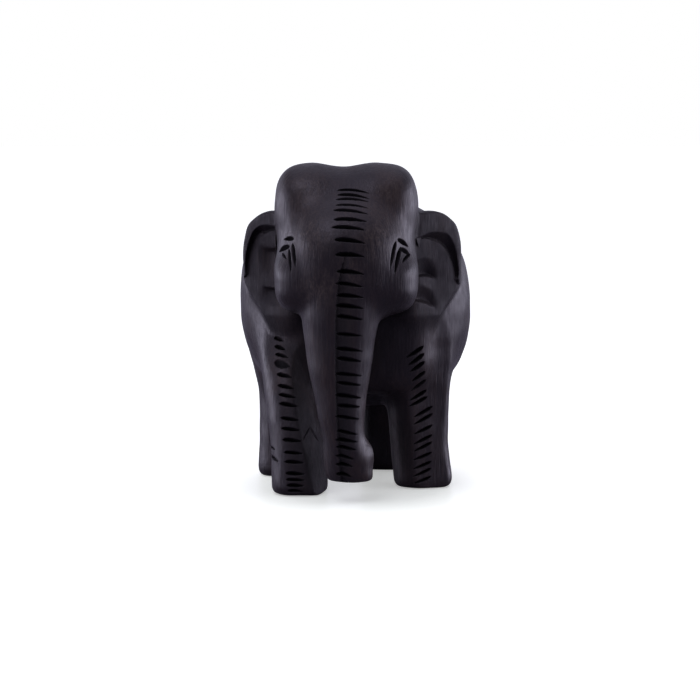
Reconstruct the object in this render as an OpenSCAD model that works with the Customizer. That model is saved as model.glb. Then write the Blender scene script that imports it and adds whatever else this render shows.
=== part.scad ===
// Small standing elephant, carved in dark wood, divided at its carved boundaries into named solids.
// It faces -Y, stands on its four soles at Z = 0, and the middle of its bounding box is over the origin.
// Lengths are in millimetres for a figure 76 high, and figure_height scales the whole figure.

/* [Overall] */
// Height from the soles to the top of the head
figure_height = 76; // [40:1:200]
// Widest half width of the barrel of the body
body_half_width = 27.2; // [24:0.2:29]
// Height of the back above the ground
back_height = 68; // [66:0.5:70]
// Height of the underside of the belly above the ground
belly_height = 20.5; // [18:0.5:23]

/* [Head] */
// Half width of the head across the cheeks
head_half_width = 16.1; // [15:0.1:17]
// Depth of the hollow between the two domes of the head
dome_hollow = 2; // [0.5:0.1:3]
// How far the middle of the head stands off the middle of the body
head_offset = -2.1; // [-3:0.1:0]
// Half of the distance between the eyes
eye_spacing = 12.4; // [11:0.1:13]
// Height of the eyes above the ground
eye_height = 56; // [54:0.5:58]

/* [Trunk] */
// Half width of the trunk where it leaves the head
trunk_root_half_width = 9.2; // [8:0.1:10]
// Half width of the trunk at its narrowest
trunk_neck_half_width = 4.7; // [4:0.1:6]
// Gap between the trunk's tip and the ground
trunk_gap = 5.4; // [3:0.1:8]

/* [Ears] */
// Highest point of an ear above the ground
ear_top = 65; // [62:0.5:67]
// Lowest point of an ear above the ground
ear_bottom = 35; // [33:0.5:38]
// Thickness of an ear's flap
ear_thickness = 5.6; // [4:0.2:8]

/* [Feet] */
// Half width of a front foot
front_foot_half_width = 6.8; // [6:0.1:8]
// Half width of a rear foot
rear_foot_half_width = 8; // [7:0.1:9]
// Stride between the two feet of a pair
stride = 12.4; // [6:0.2:14]

/* [Gouge cuts] */
// Number of cuts down the forehead and the trunk
face_cuts = 28; // [10:1:30]
// Number of cuts down the front of each front leg
leg_cuts = 17; // [6:1:18]
// Width of a cut
cut_width = 1.1; // [0.6:0.1:1.4]
// Depth of a cut
cut_depth = 0.9; // [0.4:0.1:1.2]

/* [Hidden] */

design_height = 76;
ring_points = 36;
small_ring_points = 20;
soft = 2.2;      // superellipse exponent of a nearly round section
firm = 2.5;      // superellipse exponent of a leg's section
square = 3;      // superellipse exponent of a squarer section
foot_rise = 2.5; // height of the rounded corner above a sole
sole_cut = 4;    // depth that each leg's loft runs below the ground before it is cut flat

// Distances along Y, from the front of the forehead to the end of the rump
forehead_y = -40.1;
chest_y = -17;
rump_y = 39;
front_leg_y = -17.4;
rear_leg_y = 16.4;

// Rows of the torso: [y, middle x, half width, bottom z, top z, z of the widest place]
torso_rows = [
    [chest_y, -1, 5, 36, 50, 44],
    [chest_y + 1, -1, 11, 29.5, 56, 43],
    [chest_y + 4, -1, 17, 24.5, 61, 41.5],
    [chest_y + 10, -0.6, body_half_width - 4.8, 21.5, back_height - 3, 40.5],
    [chest_y + 20, 0, body_half_width - 0.7, belly_height, back_height - 0.4, 39],
    [chest_y + 30, 0, body_half_width, belly_height, back_height, 38],
    [rump_y - 16, -0.4, body_half_width - 1, belly_height + 0.3, back_height - 2.2, 38.5],
    [rump_y - 8, -0.8, body_half_width - 4.4, belly_height + 1.5, back_height - 7.5, 39],
    [rump_y - 3, -1, body_half_width - 9.4, belly_height + 4.5, back_height - 13.5, 39.5],
    [rump_y - 0.8, -1, body_half_width - 14.5, belly_height + 9, back_height - 18.5, 40],
    [rump_y, -1, body_half_width - 21, belly_height + 14, back_height - 24, 40]
];

// Rows of the head: [y, middle x, half width, bottom z, top z, z of the widest place, hollow]
head_rows = [
    [forehead_y, head_offset, 5.5, 46.5, 57.5, 51.5, 0],
    [forehead_y + 0.8, head_offset, 9, 44, 61.5, 51, 0],
    [forehead_y + 3.4, head_offset, head_half_width - 3.4, 41.8, 66, 50, 0.2],
    [forehead_y + 8, head_offset, head_half_width - 0.8, 40.8, 71.5, 51, dome_hollow * 0.6],
    [forehead_y + 13, head_offset, head_half_width, 40.6, 76.3, 54, dome_hollow],
    [forehead_y + 18, head_offset, head_half_width + 0.1, 41, 77.1, 55, dome_hollow],
    [forehead_y + 24, head_offset, head_half_width - 0.8, 42, 74.8, 54, dome_hollow * 0.7],
    [forehead_y + 32, head_offset, head_half_width - 3, 44, 69.5, 54, dome_hollow * 0.3],
    [forehead_y + 41, head_offset, head_half_width - 7, 48, 60, 54, 0]
];

// Middle line of the lower lip, behind the trunk: [x, y, z, half width, half depth]
lip_rows = [
    [-3, -17, 47, 7.5, 5],
    [-3.1, -20.4, 42, 5.6, 3.8],
    [-3.2, -22.6, 38.4, 3.4, 2.2],
    [-3.3, -23.6, 36.8, 1.6, 0.9]
];

// Rows of the trunk down its middle line: [x, y, z, half width, half depth]
trunk_rows = [
    [-3.1, forehead_y + 12, 53, trunk_root_half_width - 1, 6],
    [-3.2, forehead_y + 9.2, 46.5, trunk_root_half_width, 7.4],
    [-3.4, forehead_y + 7.8, 40.5, trunk_root_half_width - 0.5, 7.5],
    [-3.5, forehead_y + 7.1, 34, trunk_neck_half_width + 3.1, 6.8],
    [-3.5, forehead_y + 6.7, 28, trunk_neck_half_width + 1.9, 6.2],
    [-3.2, forehead_y + 6.5, 20.5, trunk_neck_half_width + 0.6, 5.5],
    [-2.7, forehead_y + 6.6, 15, trunk_neck_half_width, 5.1],
    [-2, forehead_y + 7.4, 10.2, trunk_neck_half_width + 0.3, 4.7],
    [-1.3, forehead_y + 9.6, 6.6 + trunk_gap / 2, trunk_neck_half_width + 0.6, 4],
    [-1, forehead_y + 12.2, 5.7 + trunk_gap / 2, trunk_neck_half_width - 0.4, 2.6],
    [-1, forehead_y + 13.2, 6.2 + trunk_gap / 2, trunk_neck_half_width - 2.2, 1.4]
];

// Rows of an ear, without its side: [z, inner x, inner y, outer x, outer y, half thickness]
ear_height = ear_top - ear_bottom;
ear_half = ear_thickness / 2;
ear_offset = -0.9;
ear_rows = [
    [ear_bottom, 15.5, -13.5, 18, -10, ear_half * 0.4],
    [ear_bottom + ear_height * 0.07, 14.6, -14.6, 19.6, -8.8, ear_half * 0.8],
    [ear_bottom + ear_height * 0.2, 13.6, -16, 22, -7, ear_half],
    [ear_bottom + ear_height * 0.45, 13, -17, 24.8, -5, ear_half],
    [ear_bottom + ear_height * 0.72, 13, -17, 24.2, -5, ear_half],
    [ear_bottom + ear_height * 0.9, 13.4, -16.5, 22.4, -6.6, ear_half],
    [ear_bottom + ear_height * 0.97, 14.4, -15.6, 20.6, -8.6, ear_half * 0.8],
    [ear_top, 15.6, -14.2, 19, -11, ear_half * 0.4]
];

// Middle line of the fold along the top and outer edge of an ear: [x, y, z, half width, half depth]
fold_rows = [
    [13.6, -17.8, ear_top - 4.4, 2, 2.6],
    [17.4, -15.4, ear_top - 3, 2.3, 2.9],
    [20.8, -12, ear_top - 4, 2.3, 2.9],
    [23, -8.8, ear_top - 8.4, 1.7, 2.2],
    [24.2, -6.8, ear_top - 15, 0.8, 1]
];

// Rows of a leg: [z, middle x, middle y, half width, half depth]
function front_leg_rows(foot_x, foot_y, shoulder_x, shoulder_y) = [
    [-sole_cut, foot_x, foot_y, front_foot_half_width - 0.3, front_foot_half_width - 0.1],
    [foot_rise, foot_x, foot_y, front_foot_half_width, front_foot_half_width + 0.3],
    [10, foot_x * 1.02, foot_y, front_foot_half_width - 0.3, front_foot_half_width],
    [20, (foot_x * 2 + shoulder_x) / 3, foot_y + 1.4, front_foot_half_width + 0.4, front_foot_half_width + 1],
    [29, (foot_x + shoulder_x * 2) / 3, (foot_y * 2 + shoulder_y) / 3, 8.4, 9],
    [38, shoulder_x, (foot_y + shoulder_y * 3) / 4, 9.2, 10],
    [47, shoulder_x * 0.96, shoulder_y, 8.2, 9],
    [53, shoulder_x * 0.9, shoulder_y + 1, 5, 5.5]
];

function rear_leg_rows(foot_x, foot_y, hip_x, hip_y) = [
    [-sole_cut, foot_x, foot_y, rear_foot_half_width - 0.3, rear_foot_half_width - 0.6],
    [foot_rise, foot_x, foot_y, rear_foot_half_width, rear_foot_half_width - 0.2],
    [10, foot_x, foot_y + 0.4, rear_foot_half_width - 0.2, rear_foot_half_width],
    [20, (foot_x * 2 + hip_x) / 3, (foot_y * 2 + hip_y) / 3, rear_foot_half_width + 0.6, rear_foot_half_width + 1.4],
    [29, (foot_x + hip_x * 2) / 3, (foot_y + hip_y * 2) / 3, 9.4, 11],
    [38, hip_x, hip_y, 9.4, 11],
    [46, hip_x * 0.95, hip_y, 6, 7]
];

right_front_rows = front_leg_rows(-12.4, front_leg_y, -15, -8.6);
left_front_rows = front_leg_rows(15.2, front_leg_y + stride, 15.2, -4.4);
right_rear_rows = rear_leg_rows(-15.4, rear_leg_y, -15.2, 22);
left_rear_rows = rear_leg_rows(10.4, rear_leg_y + stride, 13, 25);

// Middle line of the tail, from the rump down to its tuft: [x, y, z, half width, half depth]
tail_rows = [
    [-1, rump_y - 11.4, 60, 2, 2],
    [-1, rump_y - 5.1, 56, 2.6, 2.2],
    [-1, rump_y - 2.1, 50, 2.3, 2.1],
    [-1, rump_y - 0.9, 44, 2, 1.9],
    [-1, rump_y - 0.7, 37, 1.8, 1.7],
    [-1, rump_y - 2.1, 30, 2.1, 1.9],
    [-1, rump_y - 3.9, 26, 2.4, 2],
    [-1, rump_y - 5.9, 22.4, 1, 1]
];

// Top and bottom of the row of cuts down the face
first_cut_z = 70;
last_cut_z = 7;

// Height of the line where the head gives way to the trunk, and how far up into the head the trunk runs
trunk_line_z = 44;
trunk_lap = 6;

// Middles of the two scoops in the hollow of an ear: [x, y, z], and their radius
ear_scoops = [[20.4, -17.4, ear_bottom + 19.5], [18.6, -19.2, ear_bottom + 10.5]];
scoop_radius = 3.6;

// Lowest and highest cut on a front leg, and the length of each
leg_cut_z = [2.4, 33.5];
leg_cut_length = 4.4;

// Cuts round an eye: [outward, up, length, tilt outward and down]
eye_cuts = [
    [0.2, 3.4, 2.6, -15],
    [2, 1.2, 3.2, 35],
    [-1.2, -1.4, 5.6, 76],
    [0.5, -1.8, 6, 68],
    [2.4, -1.2, 3, 110]
];

// Catmull-Rom curve through rows of numbers, in a number of steps between each pair
function curve_row(a, b, c, d, t) =
    0.5 * (2 * b + (c - a) * t + (2 * a - 5 * b + 4 * c - d) * t * t + (3 * b - a - 3 * c + d) * t * t * t);
function curve(rows, steps) = [
    for (i = [0:len(rows) - 2]) for (s = [0:steps - 1])
        curve_row(rows[max(i - 1, 0)], rows[i], rows[i + 1], rows[min(i + 2, len(rows) - 1)], s / steps),
    rows[len(rows) - 1]
];

// Cosine and sine squared up to a superellipse of exponent n
function rounded(v, n) = sign(v) * pow(abs(v), 2 / n);
function angles(count = ring_points) = [for (i = [0:count - 1]) 360 * i / count];

// Upright ring across Y, with a hollow in the middle of its top
function upright_ring(row, n) = [
    for (t = angles())
        let (
            side = -rounded(cos(t), n),
            rise = rounded(sin(t), n),
            reach = rise > 0 ? row[4] - row[5] : row[5] - row[3],
            hollow = is_undef(row[6]) || rise < 0 ? 0 : row[6] * exp(-pow(side * row[2] / 6, 2)) * rise
        )
        [row[1] + row[2] * side, row[0], row[5] + reach * rise - hollow]
];

// Level ring across Z, with its half width along X and its half depth along Y
function level_ring(row, n) = [
    for (t = angles()) [row[1] + row[3] * rounded(cos(t), n), row[2] + row[4] * rounded(sin(t), n), row[0]]
];

// Level ring from an inner point to an outer point, as thick as twice row[5]
function flap_ring(row) =
    let (
        inner = [row[1], row[2]],
        outer = [row[3], row[4]],
        along = (outer - inner) / 2,
        across = [-along[1], along[0]] / norm(along) * row[5]
    )
    [
        for (t = angles(small_ring_points))
            let (p = (inner + outer) / 2 + along * cos(t) + across * rounded(sin(t), square))
            [p[0], p[1], row[0]]
    ];

// Ring square to a middle line that runs through the rows before and after it
function line_ring(before, row, after, side, count) =
    let (
        run = [after[0] - before[0], after[1] - before[1], after[2] - before[2]],
        along = run / norm(run),
        across = side - along * (side * along),
        flat = across / norm(across),
        up = cross(along, flat)
    )
    [for (t = angles(count)) [row[0], row[1], row[2]] + flat * row[3] * cos(t) + up * row[4] * sin(t)];
function line_rings(rows, side, count) = [
    for (i = [0:len(rows) - 1])
        line_ring(rows[max(i - 1, 0)], rows[i], rows[min(i + 1, len(rows) - 1)], side, count)
];

function trunk_rings() = line_rings(curve(trunk_rows, 3), [1, 0, 0], ring_points);

// How far forward the face is at a distance from the head's middle and a height
function in_head(row, side, z) =
    pow(abs(side) / row[2], square) + pow(abs(z - row[5]) / (z > row[5] ? row[4] - row[5] : row[5] - row[3]), square) < 1;
function face_y(side, z) = min([for (row = curve(head_rows, 12)) if (in_head(row, side, z)) row[0], 0]);
function face_turn(side, z) = atan2(face_y(side + 1, z) - face_y(side - 1, z), 2);

function middle(ring) = [for (axis = [0:2]) [for (p = ring) 1] * [for (p = ring) p[axis]] / len(ring)];

// Closed solid through rings of the same number of points
module skin(rings) {
    count = len(rings[0]);
    last = len(rings) - 1;
    start = count * (last + 1);
    polyhedron(
        points = [
            for (ring = rings) for (p = ring) p,
            middle(rings[0]),
            middle(rings[last])
        ],
        faces = [
            for (r = [0:last - 1]) for (i = [0:count - 1])
                let (a = r * count + i, b = r * count + (i + 1) % count)
                each [[a, a + count, b], [b, a + count, b + count]],
            for (i = [0:count - 1]) [start, i, (i + 1) % count],
            for (i = [0:count - 1]) [start + 1, last * count + (i + 1) % count, last * count + i]
        ]
    );
}

module torso_form() skin([for (row = curve(torso_rows, 3)) upright_ring(row, soft)]);
module head_form() {
    skin([for (row = curve(head_rows, 3)) upright_ring(row, square)]);
    skin(line_rings(curve(lip_rows, 3), [1, 0, 0], small_ring_points));
}

module trunk_form() skin(trunk_rings());
module leg_form(rows) skin([for (row = curve(rows, 3)) level_ring(row, firm)]);
module tail_form() skin(line_rings(curve(tail_rows, 2), [1, 0, 0], small_ring_points));

module ear_form() {
    skin([for (row = curve(ear_rows, 3)) flap_ring(row)]);
    skin(line_rings(curve(fold_rows, 3), [0, -1, 0], small_ring_points));
}

// Pointed cut along X with its floor towards +Y, centred on the surface
module gouge(length) {
    polyhedron(
        points = [
            [-length / 2, -cut_depth / 4, 0], [length / 2, -cut_depth / 4, 0],
            [0, -cut_depth, cut_width], [0, -cut_depth, -cut_width],
            [0, cut_depth, 0]
        ],
        faces = [[0, 4, 2], [2, 4, 1], [1, 4, 3], [3, 4, 0], [0, 2, 3], [1, 3, 2]]
    );
}

// Row of cuts down the middle of the face, on the surface of the head and of the trunk
module face_gouges() {
    trunk_front = [for (ring = trunk_rings()) let (p = ring[ring_points / 4]) [p[2], p[1]]];
    middle_x = [[last_cut_z, head_offset - 0.6], [trunk_line_z, head_offset + 0.7], [first_cut_z, head_offset + 1.3]];
    lengths = [[last_cut_z, 3.8], [last_cut_z + 12, 6.2], [trunk_line_z, 6.6], [first_cut_z, 7.8]];
    for (i = [0:face_cuts - 1]) {
        z = first_cut_z + (last_cut_z - first_cut_z) * i / (face_cuts - 1);
        face = face_y(0.5, z);
        y = z > trunk_line_z + trunk_lap ? face : min(face, lookup(z, trunk_front));
        translate([lookup(z, middle_x), y, z]) gouge(lookup(z, lengths));
    }
}

// Cuts of the brow, the lid and the folds round both eyes
module eye_gouges() {
    for (side = [-1, 1]) for (cut = eye_cuts) {
        x = side * (eye_spacing + cut[0]);
        z = eye_height + cut[1];
        translate([head_offset + x, face_y(x, z), z]) rotate([0, 0, face_turn(x, z)])
            rotate([0, side * cut[3], 0]) gouge(cut[2]);
    }
}

// Row of cuts down the front of a front leg
module leg_gouges(rows, slant) {
    front = [for (row = curve(rows, 3)) [row[0], row[2] - row[4]]];
    middle_x = [for (row = curve(rows, 3)) [row[0], row[1]]];
    for (i = [0:leg_cuts - 1]) {
        z = leg_cut_z[0] + (leg_cut_z[1] - leg_cut_z[0]) * i / (leg_cuts - 1);
        translate([lookup(z, middle_x), lookup(z, front), z]) rotate([0, slant, 0]) gouge(leg_cut_length);
    }
}

// Takes the figure from its design size to its height
module sized() scale(figure_height / design_height) children();

// One solid less what stands in front of it, worked out as a mesh so that neighbours meet face to face
module less() {
    resize([0, 0, 0]) difference() {
        children(0);
        children([1:$children - 1]);
    }
}

// Leg up to the torso, cut flat at the ground
module leg(rows, cuts, slant) {
    difference() {
        less() {
            leg_form(rows);
            torso_form();
            if (cuts) leg_gouges(rows, slant);
        }
        translate([-50, -50, -sole_cut * 2]) cube([100, 100, sole_cut * 2]);
    }
}

// Ear of one side, less the head, the body and the two scoops in its hollow
module ear(is_right) {
    less() {
        on_side(is_right) ear_form();
        head_form();
        torso_form();
        on_side(is_right) for (at = ear_scoops) translate(at) sphere(scoop_radius, $fn = 20);
    }
}

module on_side(is_right) translate([ear_offset, 0, 0]) mirror([is_right ? 1 : 0, 0, 0]) children();

module torso() color([0.13, 0.11, 0.12]) sized() torso_form();

module head() color([0.16, 0.13, 0.13]) sized() less() {
    head_form();
    torso_form();
    face_gouges();
    eye_gouges();
}

module trunk() color([0.18, 0.14, 0.13]) sized() less() {
    trunk_form();
    head_form();
    face_gouges();
}

module left_ear() color([0.11, 0.09, 0.1]) sized() ear(false);
module right_ear() color([0.11, 0.09, 0.1]) sized() ear(true);

module right_front_leg() color([0.15, 0.12, 0.13]) sized() leg(right_front_rows, true, 6);
module left_front_leg() color([0.15, 0.12, 0.13]) sized() leg(left_front_rows, true, -30);
module right_rear_leg() color([0.14, 0.11, 0.12]) sized() leg(right_rear_rows, false, 0);
module left_rear_leg() color([0.14, 0.11, 0.12]) sized() leg(left_rear_rows, false, 0);

module tail() color([0.12, 0.1, 0.1]) sized() less() {
    tail_form();
    torso_form();
}

torso();
head();
trunk();
left_ear();
right_ear();
right_front_leg();
left_front_leg();
right_rear_leg();
left_rear_leg();
tail();
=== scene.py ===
"""Looks of the small carved wooden elephant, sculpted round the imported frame.

The figure is one carving, so its whole form is one distance function, in millimetres. It is meshed once,
the knife cuts are pressed into the mesh, and the mesh is divided along the creases between the forms. Each
piece stands for one CAD node, shares its rims with its neighbours, and is closed by a fan over each rim.
"""

import math

import bpy
import numpy as np
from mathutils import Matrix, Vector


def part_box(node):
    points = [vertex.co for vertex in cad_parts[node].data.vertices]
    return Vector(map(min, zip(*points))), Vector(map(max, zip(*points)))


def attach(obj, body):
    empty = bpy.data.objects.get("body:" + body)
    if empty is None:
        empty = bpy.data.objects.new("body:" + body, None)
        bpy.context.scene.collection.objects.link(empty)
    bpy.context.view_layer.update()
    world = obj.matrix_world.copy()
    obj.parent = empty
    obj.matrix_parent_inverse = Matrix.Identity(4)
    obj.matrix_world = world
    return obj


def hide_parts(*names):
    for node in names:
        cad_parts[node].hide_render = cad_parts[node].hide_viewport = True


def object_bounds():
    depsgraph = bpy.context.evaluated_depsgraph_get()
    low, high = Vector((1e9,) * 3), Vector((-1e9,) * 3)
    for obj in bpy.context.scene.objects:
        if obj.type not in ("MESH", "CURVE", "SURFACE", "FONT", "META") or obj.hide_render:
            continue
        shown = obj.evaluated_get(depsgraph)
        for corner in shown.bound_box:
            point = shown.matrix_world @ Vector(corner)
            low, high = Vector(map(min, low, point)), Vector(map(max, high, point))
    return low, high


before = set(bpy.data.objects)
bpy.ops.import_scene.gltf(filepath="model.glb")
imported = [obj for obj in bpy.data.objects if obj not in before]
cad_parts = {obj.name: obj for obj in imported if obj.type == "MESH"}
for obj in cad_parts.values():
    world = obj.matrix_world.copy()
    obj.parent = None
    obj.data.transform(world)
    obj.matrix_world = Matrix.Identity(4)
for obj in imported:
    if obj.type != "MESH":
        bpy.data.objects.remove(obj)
cad_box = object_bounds()

# ---------------------------------------------------------------- driving dimensions, in millimetres

MM = 0.001
GRID_STEP = 0.5
GRID_MARGIN = 2
FINE_EDGE = 0.14
BODY = "root"


def node_box(node):
    """Lowest and highest corner of a CAD node, in millimetres."""
    return [np.array(corner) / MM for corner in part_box(node)]


HEAD_LOW, HEAD_HIGH = node_box("head")
TORSO_LOW, TORSO_HIGH = node_box("torso")
EAR_LOW, EAR_HIGH = node_box("left_ear")
TRUNK_BOTTOM = node_box("trunk")[0][2]
HEAD_X = (HEAD_LOW[0] + HEAD_HIGH[0]) / 2
HEAD_HALF = (HEAD_HIGH[0] - HEAD_LOW[0]) / 2
HEAD_TOP = HEAD_HIGH[2]
FACE_Y = HEAD_LOW[1]
EAR_X = (node_box("right_ear")[0][0] + EAR_HIGH[0]) / 2
EAR_REACH = EAR_HIGH[0] - EAR_X
EAR_TOP = EAR_HIGH[2]
EAR_BOTTOM = EAR_LOW[2]
TORSO_HALF = (TORSO_HIGH[0] - TORSO_LOW[0]) / 2
BELLY_Z = TORSO_LOW[2]
BACK_Z = TORSO_HIGH[2]
RUMP_Y = TORSO_HIGH[1]

# ---------------------------------------------------------------- distance functions
# Each shape is a function of x, y and z that gives the distance to its surface, negative inside.


def smooth_min(a, b, k):
    near = np.maximum(k - np.abs(a - b), 0) / k
    return np.minimum(a, b) - near**3 * k / 6


def smooth_max(a, b, k):
    return -smooth_min(-a, -b, k)


def union(k, *shapes):
    """Shapes joined with a blend that is k wide."""

    def shape(x, y, z):
        field = shapes[0](x, y, z)
        for other in shapes[1:]:
            field = smooth_min(field, other(x, y, z), k)
        return field

    return shape


def shaved(k, wood, *cuts):
    """Wood cut off flat. A cut is a point on its plane and the way that the plane faces, out of the wood.

    k is how wide the cut's edges are rounded.
    """
    ways = [(at, np.array(way) / np.linalg.norm(way)) for at, way in cuts]

    def shape(x, y, z):
        field = wood(x, y, z)
        for at, way in ways:
            field = smooth_max(field, (x - at[0]) * way[0] + (y - at[1]) * way[1] + (z - at[2]) * way[2], k)
        return field

    return shape


def blob(at, radii, power=2.0, tilt=0.0, lean=0.0):
    """Superellipsoid, tilted in degrees about X. It leans sideways by a share of its height."""
    c, s = math.cos(math.radians(tilt)), math.sin(math.radians(tilt))

    def shape(x, y, z):
        v, w = y - at[1], z - at[2]
        u = x - at[0] + lean * w
        v, w = c * v + s * w, c * w - s * v
        total = 1e-6
        slope = 1e-9
        for side, radius in zip((u, v, w), radii):
            share = np.abs(side / radius)
            total = total + share**power
            slope = slope + (share ** (power - 1) / radius) ** 2
        reach = total ** (1 / power)
        return (reach - 1) * reach ** (power - 1) / np.sqrt(slope)

    return shape


def curve_rows(rows, steps=8):
    """Catmull-Rom curve through rows of numbers."""
    rows = np.array(rows, float)
    padded = np.vstack([rows[0], rows, rows[-1]])
    t = np.linspace(0, 1, steps, endpoint=False)[:, None]
    parts = []
    for a, b, c, d in zip(padded[:-3], padded[1:-2], padded[2:-1], padded[3:]):
        square = 2 * a - 5 * b + 4 * c - d
        cube = 3 * b - a - 3 * c + d
        parts.append(0.5 * (2 * b + (c - a) * t + square * t**2 + cube * t**3))
    return np.vstack(parts + [rows[-1:]])


def column(rows, power=2.2, base_rounding=3.0, top_rounding=4.0):
    """Upright form through rows of (z, x, y, half width, half depth)."""
    table = curve_rows(sorted(rows))
    base, top = table[0, 0], table[-1, 0]

    def shape(x, y, z):
        mx, my, hx, hy = (np.interp(z, table[:, 0], table[:, i]).astype(np.float32) for i in range(1, 5))
        u, v = np.abs((x - mx) / hx), np.abs((y - my) / hy)
        total = u**power + v**power + 1e-6
        slope = (u ** (power - 1) / hx) ** 2 + (v ** (power - 1) / hy) ** 2 + 1e-9
        reach = total ** (1 / power)
        side = (reach - 1) * reach ** (power - 1) / np.sqrt(slope)
        return smooth_max(smooth_max(side, z - top, top_rounding), base - z, base_rounding)

    return shape


def tube(rows, flatten=1.0):
    """Round form along a line through rows of (x, y, z, radius)."""
    table = curve_rows(rows, 4)

    def shape(x, y, z):
        field = None
        for a, b in zip(table[:-1], table[1:]):
            run = b[:3] - a[:3]
            u, v, w = x - a[0], y - a[1], z - a[2]
            t = np.clip((u * run[0] + v * run[1] + w * run[2]) / (run @ run), 0, 1)
            square = ((u - t * run[0]) / flatten) ** 2 + (v - t * run[1]) ** 2 + (w - t * run[2]) ** 2
            near = np.sqrt(square) - (a[3] + t * (b[3] - a[3]))
            field = near if field is None else np.minimum(field, near)
        return field

    return shape


def outline(points, steps=6):
    """Distance in a plane to a closed smooth outline, negative inside."""
    loop = curve_rows(list(points) + [points[0]], steps)

    def shape(u, v):
        square = None
        inside = None
        for a, b in zip(loop[:-1], loop[1:]):
            run = b - a
            if run @ run < 1e-9:
                continue
            t = np.clip(((u - a[0]) * run[0] + (v - a[1]) * run[1]) / (run @ run), 0, 1)
            near = (u - a[0] - t * run[0]) ** 2 + (v - a[1] - t * run[1]) ** 2
            rise = run[1] if run[1] else 1e-9
            crosses = ((a[1] > v) != (b[1] > v)) & (u < a[0] + (v - a[1]) * run[0] / rise)
            square = near if square is None else np.minimum(square, near)
            inside = crosses if inside is None else inside ^ crosses
        return np.where(inside, -1, 1) * np.sqrt(square)

    return shape


# ---------------------------------------------------------------- the forms
# Places and sizes count from the CAD's boxes where they follow them.
# The rest were set against the photo.


def torso_shape():
    middle_z = (BELLY_Z + BACK_Z) / 2 - 0.4
    radii = (TORSO_HALF + 0.3, 26, BACK_Z - middle_z + 0.8)
    barrel = blob((0, RUMP_Y - 26.7, middle_z - 1.2), radii, 2.5, lean=0.03)
    rump = blob((-0.8, RUMP_Y - 15.2, 41.5), (23, 14, 20), 2.3)
    shoulders = blob((0.3, 2, 42), (25.6, 14.5, 22), 2.3)
    chest = blob((0.6, -6.5, 36), (17.5, 9, 13.7), 4.0)
    neck = blob((-1.5, -8, 55), (13, 15, 12.5), 2.2, tilt=-14)
    return union(3.0, union(5.0, barrel, rump, shoulders, neck), chest)


def head_shape():
    skull = blob((HEAD_X, FACE_Y + 20.6, 59.1), (HEAD_HALF - 0.5, 14, 16), 3.3, tilt=-9)
    brow = blob((HEAD_X, FACE_Y + 12, 54.2), (13, 11.8, 15), 2.35)
    domes = [
        blob((HEAD_X + x, FACE_Y + 19.4, HEAD_TOP - 8), (radius, 10.2, 8), 2.7)
        for x, radius in ((-9.1, 6.6), (8.3, 7.5))
    ]
    cheeks = [blob((HEAD_X + side * 8.9, FACE_Y + 13, 49.4), (7.2, 9.3, 6.7), 2.9) for side in (-1, 1)]
    lip = column(
        [
            (36.2, -3.3, FACE_Y + 17.5, 1.2, 0.9), (38, -3.2, FACE_Y + 18, 3, 2),
            (42, -3, FACE_Y + 20, 5.4, 4), (48, -3, FACE_Y + 23, 7, 6),
        ]
    )
    return union(3.0, union(4.5, union(5.0, skull, *domes), brow, *cheeks), lip)


def trunk_shape():
    root, neck = 9.0, 4.75
    rows = [
        (56, -2.6, FACE_Y + 10, root - 1.2, 8), (50, -3, FACE_Y + 8.4, root - 0.2, 7.6),
        (44, -3.3, FACE_Y + 7.9, root, 7.6), (38, -3.5, FACE_Y + 7.4, root - 0.9, 7.1),
        (31.5, -3.6, FACE_Y + 6.9, root - 1.75, 6.6), (25.5, -3.45, FACE_Y + 6.4, neck + 1.35, 6),
        (20.5, -3.25, FACE_Y + 6.1, neck + 0.6, 5.6), (15.5, -2.75, FACE_Y + 6.1, neck, 5.2),
        (11, -2.0, FACE_Y + 6.4, neck + 0.3, 4.9),
        (TRUNK_BOTTOM - 0.4, -1.2, FACE_Y + 7.2, neck + 0.7, 4.4),
    ]
    tip = tube(
        [
            (-1.3, FACE_Y + 7.2, 11, 4.2), (-0.9, FACE_Y + 9.2, TRUNK_BOTTOM + 4.1, 4),
            (-0.5, FACE_Y + 12.2, TRUNK_BOTTOM + 3.2, 3.1), (-0.3, FACE_Y + 14.6, TRUNK_BOTTOM + 4.2, 2.2),
        ],
        flatten=1.25,
    )
    return union(2.5, column(rows, 2.15), tip)


# Rows of a leg: height, then X and Y of the middle and the half width and depth. X counts outwards from the
# middle of the body on the leg's own side, and Y from the middle of the foot.
LEG_ROWS = {
    "right_front_leg": [
        (0, 12.6, 0, 6.6, 7), (2.5, 12.6, 0, 6.8, 7.3), (10, 12.9, 1, 6.6, 7.2), (18, 13.6, 3.2, 6.9, 7.6),
        (24, 14.1, 6, 7.2, 8.6), (30, 14.2, 9.6, 8, 9.2), (37, 13.6, 14, 8.8, 9), (48, 12.5, 16, 7, 7.5),
    ],
    "left_front_leg": [
        (0, 15.9, 0, 6.7, 7), (2.5, 15.9, 0, 6.9, 7.3), (10, 15.1, 0.2, 6.8, 7), (18, 14.8, 0.6, 7.2, 7.6),
        (24, 14.6, 1.2, 7.8, 8.4), (30, 14.5, 1.9, 8.4, 8.9), (37, 13.6, 3, 8.8, 9), (48, 12.5, 5, 7, 7.5),
    ],
    "right_rear_leg": [
        (0, 15.4, 0, 8, 7.6), (2.5, 15.4, 0, 8.2, 8), (10, 15.4, 0.5, 7.8, 7.9), (20, 15.5, 2.6, 8, 9.4),
        (29, 15.6, 4.4, 9.4, 11.4), (38, 15.2, 5.6, 9.6, 11.5), (46, 14.4, 5.6, 7, 8),
    ],
    "left_rear_leg": [
        (0, 10.2, 0, 8.4, 7.6), (2.5, 10.2, 0, 8.6, 8), (10, 10.3, -0.3, 8.6, 7.9), (20, 11, -1.6, 9.2, 9.2),
        (29, 12.3, -3.2, 10.4, 11.2), (38, 13, -3.8, 9.6, 11.5), (46, 12.4, -4, 7, 8),
    ],
}
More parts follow.
